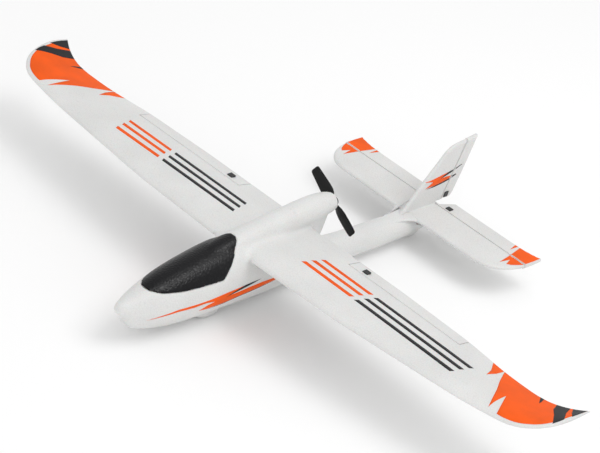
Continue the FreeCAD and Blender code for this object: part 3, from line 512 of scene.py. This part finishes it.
def upright_tail():
    """Fin with its fillets, and the rudder."""
    front = curve_through([(130, 22, 1), (139, 29.9), (149, 43), (161, 60), (174, 77.2), (179.6, 84.6),
                           (187, 89.2), (197, 91.2), (rudder_line(92) - 0.4, 92, 1)], 6)
    foot = [(rudder_line(32.2) - 0.4, 32.2), (186, 32.2), (186, 30.05), (149, 30.05), (148.7, 27)]
    fin = slab("fin_foam", [tuple(p) for p in front] + foot, SLAB_HALF, 0, fin_rim, True)
    place(fin, "airframe", "foam_white", "vertical_fin")
    fin_fillets()
    rear = curve_through([(rudder_line(32.3) + 0.45, 32.3, 1), (206.6, 32.3, 1), (209.6, 36), (211.5, 45),
                          (214.4, 60), (217.6, 80), (219.3, 94.3, 1), (212, 93.2),
                          (rudder_line(92.1) + 0.45, 92.1, 1)], 6)
    rudder = slab("rudder_foam", [tuple(p) for p in rear], SLAB_HALF, 0, rudder_rim, True)
    place(rudder, "rudder_surface", "foam_white", "rudder")
    return fin, rudder


# ---------------------------------------------------------------- fuselage and canopy

# grid sizes of the new meshes, and how far a point may lie from the field that moves it
HULL_VOXEL, HOOD_VOXEL, FIELD_REACH = 0.8, 0.6, 1.6

# shortening of the nose, raising of the chin, and depth of the dent on the pod
NOSE_TRIM, CHIN_RISE, DENT_DEPTH = 3.4, 4.2, 1.4
DENT = (6, -27, 79)


def copied(name, *nodes):
    """New mesh object holding copies of CAD nodes' meshes."""
    joined = bmesh.new()
    for node in nodes:
        joined.from_mesh(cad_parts[node].data)
    bmesh.ops.remove_doubles(joined, verts=joined.verts, dist=1e-6)
    mesh = bpy.data.meshes.new(name)
    joined.to_mesh(mesh)
    joined.free()
    return link(bpy.data.objects.new(name, mesh))


def remeshed(obj, voxel):
    """Even mesh over the object's surface."""
    grid = obj.modifiers.new("grid", "REMESH")
    grid.mode, grid.voxel_size, grid.use_smooth_shade = "VOXEL", voxel, True
    return applied(obj)


def relax(mesh, rounds, weight, fill_only):
    """Moves each point towards the mean of its neighbours by its weight.

    With fill_only, points hardly move inwards, so only hollows are filled.
    """
    count = len(mesh.vertices)
    co = np.empty(count * 3)
    mesh.vertices.foreach_get("co", co)
    co = co.reshape(-1, 3)
    ends = np.empty(len(mesh.edges) * 2, int)
    mesh.edges.foreach_get("vertices", ends)
    a, b = ends.reshape(-1, 2).T
    degree = np.bincount(a, minlength=count) + np.bincount(b, minlength=count)
    for turn in range(rounds):
        if fill_only and turn % 8 == 0:
            mesh.vertices.foreach_set("co", co.ravel())
            mesh.update()
            normal = np.empty(count * 3)
            mesh.vertex_normals.foreach_get("vector", normal)
            normal = normal.reshape(-1, 3)
        sums = [np.bincount(a, co[b, k], count) + np.bincount(b, co[a, k], count) for k in range(3)]
        total = np.stack(sums, 1)
        step = total / degree[:, None] - co
        amount = weight.copy()
        if fill_only:
            amount[np.sum(step * normal, axis=1) < 0] *= 0.1
        co = co + step * amount[:, None]
    mesh.vertices.foreach_set("co", co.ravel())
    mesh.update()


def coordinates(mesh):
    """Vertex positions as rows of an array, in millimetres."""
    co = np.empty(len(mesh.vertices) * 3)
    mesh.vertices.foreach_get("co", co)
    return co.reshape(-1, 3) / MM


def softening():
    """How the fuselage's skin moves where its parts blend: a tree of places and the move at each."""
    whole = copied("whole_hull", "fuselage_left", "fuselage_right", "canopy_hatch")
    remeshed(whole, HULL_VOXEL * MM)
    before = coordinates(whole.data)
    x, y, z = before.T
    x = abs(x)
    saddle = (z > 50) & (x > 6) & (y > -140) & (x < 22.6)
    web = (y > -60) & (y < 34) & (z > 27) & (z < 64) & (x < 22.6)
    blend = (saddle | web) & (np.hypot(x, z - 70.5) > 9.5)
    relax(whole.data, 90, np.where(blend, 0.6, 0.0), True)
    moved = coordinates(whole.data) - before
    towards_tip = np.clip((-202 - y) / 17, 0, 1)
    moved[:, 1] += NOSE_TRIM * towards_tip ** 2
    chin = np.exp(-((y + 209) / 7.5) ** 2) * np.clip((33 - z) / 11, 0, 1)
    moved[:, 2] += CHIN_RISE * chin
    dent = np.exp(-np.sum((before - DENT) ** 2, axis=1) / 5)
    moved[:, 2] -= DENT_DEPTH * dent
    tree = KDTree(len(before))
    for i, point in enumerate(before):
        tree.insert(point, i)
    tree.balance()
    bpy.data.objects.remove(whole)
    return tree, moved


def soften(mesh, field):
    """Moves a mesh as the field says, and eases its edges a little."""
    tree, moved = field
    relax(mesh, 3, np.full(len(mesh.vertices), 0.5), False)
    for vertex in mesh.vertices:
        _, index, distance = tree.find(vertex.co / MM)
        if distance < FIELD_REACH:
            vertex.co += Vector(moved[index]) * MM
    mesh.update()


def fuselage(field):
    """The two shells as one skin with soft blends, split again on the centre plane."""
    whole = copied("fuselage_whole", "fuselage_left", "fuselage_right")
    remeshed(whole, HULL_VOXEL * MM)
    mesh = whole.data
    soften(mesh, field)
    halves = []
    for side, name in ((1, "left"), (-1, "right")):
        part = bmesh.new()
        part.from_mesh(mesh)
        cut = bmesh.ops.bisect_plane(part, geom=part.verts[:] + part.edges[:] + part.faces[:], dist=1e-7,
                                     plane_co=(0, 0, 0), plane_no=(side, 0, 0), clear_inner=True)
        rim = [e for e in cut["geom_cut"] if isinstance(e, bmesh.types.BMEdge)]
        bmesh.ops.holes_fill(part, edges=rim)
        bmesh.ops.triangulate(part, faces=[f for f in part.faces if len(f.verts) > 4])
        half = bpy.data.meshes.new(f"fuselage_{name}_foam")
        part.to_mesh(half)
        part.free()
        half.materials.append(WHITE_FOAM)
        shade(half, 50)
        obj = link(bpy.data.objects.new(f"fuselage_{name}_foam", half))
        place(obj, "airframe", "foam_white", f"fuselage_{name}")
        halves.append(obj)
    bpy.data.objects.remove(whole)
    return halves


def canopy(field):
    """Black foam canopy with eased edges."""
    hood = copied("canopy_foam", "canopy_hatch")
    remeshed(hood, HOOD_VOXEL * MM)
    soften(hood.data, field)
    hood.data.materials.clear()
    hood.data.materials.append(BLACK_FOAM)
    shade(hood.data, 50)
    place(hood, "canopy", "foam_black", "canopy_hatch")


def belly_bulge():
    """Rounded landing bulge under the cabin, standing on the floor."""
    front, rear, half, top = -127.5, -90.5, 10.8, 9.4
    loops = []
    for i in range(31):
        t = (1 - math.cos(math.pi * i / 30)) / 2
        y = front + (rear - front) * t
        full = math.sin(math.pi * min(max(t, 0.004), 0.996)) ** 0.3
        width, low = half * full, top * (1 - full)
        section = []
        for k in range(28):
            angle = 2 * math.pi * k / 28
            u, v = math.cos(angle), math.sin(angle)
            section.append((width * squared(u, 0.5), y,
                            (top + low) / 2 + (top - low) / 2 * squared(v, 0.5)))
        loops.append(section)
    bulge = loft("belly_bulge", loops, SKID)
    place(bulge, "airframe", "skid_grey", "belly_skid")


# ---------------------------------------------------------------- printed graphics

# film: its own thickness, how far it lies off the foam, and how far when it lies on another film
FILM_THICKNESS, LIFT, UPPER_LIFT = 0.04, 0.05, 0.11
EDGE_BORDER, TIP_BORDER, HINGE_BORDER = 0.45, 3.1, 0.3

def inside(point, outline):
    """Whether a point lies within a closed outline."""
    hit, (u, v) = False, point
    for (a, b), (c, d) in zip(outline, outline[1:] + outline[:1]):
        if (b > v) != (d > v) and u < a + (v - b) * (c - a) / (d - b):
            hit = not hit
    return hit


def clipped(outline, keep):
    """Outline cut to where keep(point) is positive; keep is linear enough over one edge."""
    out = []
    for p, q in zip(outline, outline[1:] + outline[:1]):
        a, b = keep(p), keep(q)
        if a >= 0:
            out.append(p)
        if (a >= 0) != (b >= 0):
            t = a / (a - b)
            out.append((p[0] + t * (q[0] - p[0]), p[1] + t * (q[1] - p[1])))
    return out


def decal(name, outline, target, sight, mat, body, step=2.0, lift=LIFT):
    """Thin film laid on a target. The outline is in (x, y) seen along z, or (y, z) seen along +x or -x."""
    dense = []
    for p, q in zip(outline, outline[1:] + outline[:1]):
        parts = max(1, int(math.dist(p, q) / step))
        dense += [(p[0] + (q[0] - p[0]) * i / parts, p[1] + (q[1] - p[1]) * i / parts)
                  for i in range(parts)]
    lows, highs = np.min(dense, axis=0), np.max(dense, axis=0)
    columns, rows = np.arange(lows[0], highs[0], step), np.arange(lows[1], highs[1], step)
    grid = [(u, v) for u in columns for v in rows
            if inside((u, v), dense) and min(math.dist((u, v), p) for p in dense) > 0.35 * step]
    points = [Vector(p) for p in dense + grid]
    rim = [(i, (i + 1) % len(dense)) for i in range(len(dense))]
    flat, _, faces, *_ = delaunay_2d_cdt(points, rim, [], 1, 1e-5)
    tree = BVHTree.FromObject(target, bpy.context.evaluated_depsgraph_get())
    spots = []
    for u, v in flat:
        if sight == "z":
            start, way = Vector((u, v, 200)) * MM, Vector((0, 0, -1))
        else:
            side = 1 if sight == "+x" else -1
            start, way = Vector((side * 200, u, v)) * MM, Vector((-side, 0, 0))
        where, normal, _, _ = tree.ray_cast(start, way)
        if where is None:
            where, normal, _, _ = tree.find_nearest(start + way * (start.length * 0.7))
        if normal.dot(way) > 0:
            normal = -normal
        spots.append((where + normal * lift * MM) / MM)
    film = mesh_object(name, spots, [tuple(f) for f in faces], mat)
    up = film.modifiers.new("film", "SOLIDIFY")
    up.thickness, up.offset = FILM_THICKNESS * MM, 0
    applied(film)
    for poly in film.data.polygons:
        poly.use_smooth = True
    place(film, body, None)
    return film


def edge_run(x_from, x_to, which, border, count=14):
    """Points along the wing's front or rear edge, set in by a border."""
    out = []
    for i in range(count + 1):
        x = x_from + (x_to - x_from) * i / count
        here, ahead = plan(x), plan(min(SPAN, x + 0.4))
        slope = (ahead[which] - here[which]) / 0.4
        length = math.hypot(1, slope)
        if which == 0:
            out.append((x - border * slope / length, here[0] + border / length))
        else:
            out.append((x, here[1] - border / length))
    return out


def mirror_flat(outline, side):
    return [(side * x, y) for x, y in outline]


def rear_run(x_from, x_to):
    """Points just inside the wing's rear edge."""
    return edge_run(x_from, x_to, 1, EDGE_BORDER)


def stripes(side):
    """Three rows of stripes on one wing, each row an orange and a black bar with slanted ends."""
    near, far = ((46, 99), (104, 206)) if side > 0 else ((121, 172), (32, 116))
    half_width, lean, slant = 2.1, 2.2, 1.8
    out = []
    for k, y in enumerate((-57.5, -47.5, -37.5)):
        for (a, b), mat, tag in ((near, ORANGE, "warm"), (far, INK, "dark")):
            a, b = a + lean * k, b + lean * k
            bar = [(a, y - half_width), (b, y - half_width),
                   (b + slant, y + half_width), (a + slant, y + half_width)]
            out.append((bar, mat, f"stripe_{tag}_{k}"))
    return out


def wing_graphics(side, name, panel):
    """Flame-shaped tip and plain stripes on one wing."""
    front = edge_run(264.5, 299.7, 0, TIP_BORDER, 26)
    flame = rear_run(212, 224.2) + [(224.6, -12), (224.4, -20.7), (222, -31), (219.4, -21)]
    body = rear_run(225, 298.4)[::-1]
    body += [(227.6, -15.3), (232.8, -27), (240, -40.8), (246.2, -54.9), (251.2, -65.9), (250.1, -57.5),
             (249.6, -49.1), (249.4, -40.6), (252.8, -48.9), (256.6, -58), (260.2, -66.6)]
    body += front + [(298.5, -10)]
    band = rear_run(276.9, 287)[::-1]
    band += [(280.6, -19.7), (287.2, -29.1), (294.9, -42.2), (296.4, -35.5), (296.9, -29.8), (291, -18)]
    tip = rear_run(288.9, 298.4)[::-1] + [(293, -13.2), (298.2, -21.2), (298.6, -13), (298.7, -6)]
    dart = rear_run(262.6, 266.0)[::-1] + [(265.6, -16.6), (268.7, -22), (268, -17.6)]
    for outline, mat, tag in [(flame, ORANGE, "flame"), (body, ORANGE, "tip")] + stripes(side):
        decal(f"wing_{name}_{tag}", mirror_flat(outline, side), panel, "z", mat, "airframe")
    for outline, tag in ((band, "band"), (tip, "point"), (dart, "dart")):
        flat = mirror_flat(outline, side)
        decal(f"wing_{name}_{tag}", flat, panel, "z", INK, "airframe", 1.2, UPPER_LIFT)


def tail_graphics(stab, elevator, fin, rudder):
    """Flames on the tailplane's tips and streaks on both sides of the fin."""
    main = [(86.8, 206.9), (90.2, 188.6), (90.6, 186.6), (92, 177), (93.3, 167.4), (95.4, 180.2),
            (98.3, 171.0), (101.4, 174), (103.9, 179.4), (105.8, 185), (106.7, 190), (107.1, 200),
            (107.0, 210.6), (102, 209.8), (95, 208.1)]
    small = [(81.6, 206.5), (84.5, 194.4), (84.9, 206.3)]
    for side, name in ((1, "left"), (-1, "right")):
        for outline, tag in ((main, "flame"), (small, "dart")):
            fore = mirror_flat(clipped(outline, lambda p: STAB_REAR - HINGE_BORDER - p[1]), side)
            aft = mirror_flat(clipped(outline, lambda p: p[1] - ELEVATOR_FRONT - HINGE_BORDER), side)
            if len(fore) > 2:
                decal(f"tailplane_{name}_{tag}", fore, stab, "z", ORANGE, "airframe", 1.2)
            decal(f"elevator_{name}_{tag}", aft, elevator, "z", ORANGE, "elevator_surface", 1.2)
    warm = [(158.7, 58.2), (169.7, 59.0), (181.8, 60.8), (191, 62), (186, 59.6), (181.5, 57.4), (190, 57.6),
            (198.2, 56.9), (197, 54.9), (185.8, 52.6), (175.8, 51.4), (162.2, 50.9), (167.5, 53.3),
            (171.5, 55.9), (166, 57.1)]
    upper = [(180.6, 56.7), (190, 58.9), (199, 61.6), (209.2, 66.1), (208.0, 66.5), (199, 63.6),
             (191.4, 62.1), (186, 59.7)]
    lower = [(163.5, 49.9), (175.8, 49.9), (185.8, 51.0), (196.9, 52.9), (205.0, 56.3), (204.2, 57.4),
             (198.4, 56.6), (197.1, 54.8), (185.8, 52.5), (175.8, 51.3)]
    for sight, name in (("+x", "left"), ("-x", "right")):
        for outline, mat, tag in ((warm, ORANGE, "streak"), (upper, INK, "upper"), (lower, INK, "lower")):
            fore = clipped(outline, lambda p: rudder_line(p[1]) - 0.55 - p[0])
            aft = clipped(outline, lambda p: p[0] - rudder_line(p[1]) - 0.6)
            decal(f"fin_{name}_{tag}", fore, fin, sight, mat, "airframe", 1.0)
            if len(aft) > 2 and np.ptp(np.array(aft), axis=0).max() > 1:
                decal(f"rudder_{name}_{tag}", aft, rudder, sight, mat, "rudder_surface", 1.0)


def side_graphics(left, right):
    """Streaks along both sides of the cabin."""
    warm = [(-194, 25.2), (-178.8, 28.2), (-164.9, 31.0), (-143.8, 32.0), (-130.4, 32.8), (-113.3, 34.4),
            (-93, 35.4), (-102, 32.6), (-111, 30.4), (-99.9, 30.6), (-84, 31.4), (-68.2, 31.4), (-46, 29.6),
            (-46, 27.0), (-65.5, 26.6), (-80, 25.8), (-95.5, 24.9), (-112.6, 22.9), (-131.2, 22.6),
            (-141, 23.6), (-132.8, 27.3), (-125.4, 29.0), (-136, 30.3), (-147.8, 29.2), (-164.1, 28.9),
            (-178.8, 27.0)]
    dart = [(-112.5, 29.9), (-99, 31.9), (-84, 33.9), (-71.5, 35.9), (-84, 35.9), (-92.6, 35.6),
            (-102, 33.2)]
    keel = [(-128, 21.9), (-112.6, 22.2), (-95.5, 24.2), (-80, 25.1), (-65.5, 25.9), (-50, 26.5),
            (-65.5, 26.5), (-80, 25.7), (-95.5, 24.8), (-112.6, 22.8)]
    for target, sight, name in ((left, "+x", "left"), (right, "-x", "right")):
        decal(f"cabin_{name}_streak", warm, target, sight, ORANGE, "airframe", 1.5, 0.06)
        decal(f"cabin_{name}_dart", dart, target, sight, INK, "airframe", 1.5, 0.12)
        decal(f"cabin_{name}_keel", keel, target, sight, INK, "airframe", 1.5, 0.06)


# ---------------------------------------------------------------- CAD pieces kept as they are

LOOKS = {
    "wing_spar": CARBON, "wing_tongue": WOOD, "servo_block": WOOD, "motor_mount": WOOD,
    "wing_screws": STEEL, "motor_screws": STEEL, "motor_shaft": STEEL, "motor_stator": ALLOY,
    "prop_collar": BELL, "motor_bell": BELL, "propeller": PROP_BLACK, "elevator_guide_tube": TUBE,
    "rudder_guide_tube": TUBE, "equipment_tray": TRAY, "battery": WRAP, "battery_strap": STRAP,
    "board_tape": STRAP, "receiver_board": BOARD, "battery_plug": PLUG, "motor_leads": LEAD,
    "battery_leads": LEAD, "tail_skid": SKID, "fuselage_magnet": STEEL, "hatch_magnet": STEEL,
}
ENDINGS = {
    "_servo": SERVO_BLUE, "_servo_arm": NYLON_WHITE, "_horn": NYLON_BLACK, "_horn_plate": NYLON_BLACK,
    "_pushrod": STEEL,
}
EASE = {"_servo": 0.35, "_servo_arm": 0.15, "_horn_plate": 0.3, "battery_plug": 0.4, "servo_block": 0.4,
        "equipment_tray": 0.3, "receiver_board": 0.12, "tail_skid": 0.5}


def dress():
    """Materials and eased edges for the CAD nodes that are shown."""
    for name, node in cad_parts.items():
        if node.hide_render:
            continue
        mat = LOOKS.get(name) or next((m for end, m in ENDINGS.items() if name.endswith(end)), NYLON_BLACK)
        node.data.materials.clear()
        node.data.materials.append(mat)
        ease = next((v for end, v in EASE.items() if name.endswith(end)), None)
        if ease:
            weld = node.modifiers.new("weld", "WELD")
            weld.merge_threshold = 1e-6
            bevel = node.modifiers.new("ease", "BEVEL")
            bevel.width, bevel.segments, bevel.limit_method = ease * MM, 3, "ANGLE"
            bevel.angle_limit = math.radians(40)
            bevel.harden_normals = True


# ---------------------------------------------------------------- stage

# lights: name, place in metres, size and watts; the sheen reaches glossy reflections only
LIGHTS = [
    ("overhead", (0.55, 0.45, 1.6), 1.2, 8.5),
    ("front", (0.9, -1.9, 0.7), 1.2, 6.5),
    ("sheen", (0.62, 0.16, 1.32), 0.4, 7),
]
FLOOR_SIZE, SKY_STRENGTH, AIMED_AT = 14, 0.8, (0, 0, 0.05)

# camera: azimuth, elevation and roll in degrees, place in metres, lens and sensor in millimetres
CAMERA_ANGLES, CAMERA_PLACE = (33.05, 29.15, 18.09), (0.9826, -1.5169, 1.0599)
LENS, SENSOR = 150, 36


def stage():
    """White floor, soft overhead light and the camera."""
    floor_mat = material("floor", (0.96, 0.96, 0.96), 0.9, Specular_IOR_Level=0.0)
    bpy.ops.mesh.primitive_plane_add(size=FLOOR_SIZE, location=(0, 0, 0))
    floor = bpy.context.object
    floor.data.materials.append(floor_mat)
    world = bpy.data.worlds.new("world")
    bpy.context.scene.world = world
    world.use_nodes = True
    world.node_tree.nodes["Background"].inputs["Color"].default_value = (1, 1, 1, 1)
    world.node_tree.nodes["Background"].inputs["Strength"].default_value = SKY_STRENGTH
    bpy.context.scene.view_settings.view_transform = "Standard"
    for name, spot, size, watts in LIGHTS:
        light = bpy.data.lights.new(name, "AREA")
        light.energy, light.size = watts, size
        lamp = link(bpy.data.objects.new(name, light))
        lamp.location = spot
        lamp.rotation_euler = (Vector(AIMED_AT) - Vector(spot)).to_track_quat("-Z", "Y").to_euler()
        lamp.visible_diffuse = name != "sheen"
    azimuth, elevation, roll = (math.radians(a) for a in CAMERA_ANGLES)
    level_right = Vector((math.cos(azimuth), math.sin(azimuth), 0))
    level_up = Vector((-math.sin(azimuth) * math.sin(elevation), math.cos(azimuth) * math.sin(elevation),
                       math.cos(elevation)))
    right = level_right * math.cos(roll) + level_up * math.sin(roll)
    up = level_up * math.cos(roll) - level_right * math.sin(roll)
    back = right.cross(up)
    camera = bpy.data.cameras.new("camera")
    camera.sensor_width, camera.lens = SENSOR, LENS
    camera.clip_end = 50
    eye = link(bpy.data.objects.new("camera", camera))
    turn = Matrix((right, up, back)).transposed().to_4x4()
    turn.translation = Vector(CAMERA_PLACE)
    eye.matrix_world = turn
    bpy.context.scene.camera = eye


port_wing = wing(1, "left")
starboard_wing = wing(-1, "right")
stab, elevator = tailplane()
tail_saddle()
fin, rudder = upright_tail()
hull_field = softening()
left_shell, right_shell = fuselage(hull_field)
canopy(hull_field)
belly_bulge()
bpy.context.view_layer.update()
wing_graphics(1, "left", port_wing)
wing_graphics(-1, "right", starboard_wing)
tail_graphics(stab, elevator, fin, rudder)
side_graphics(left_shell, right_shell)
dress()
stage()
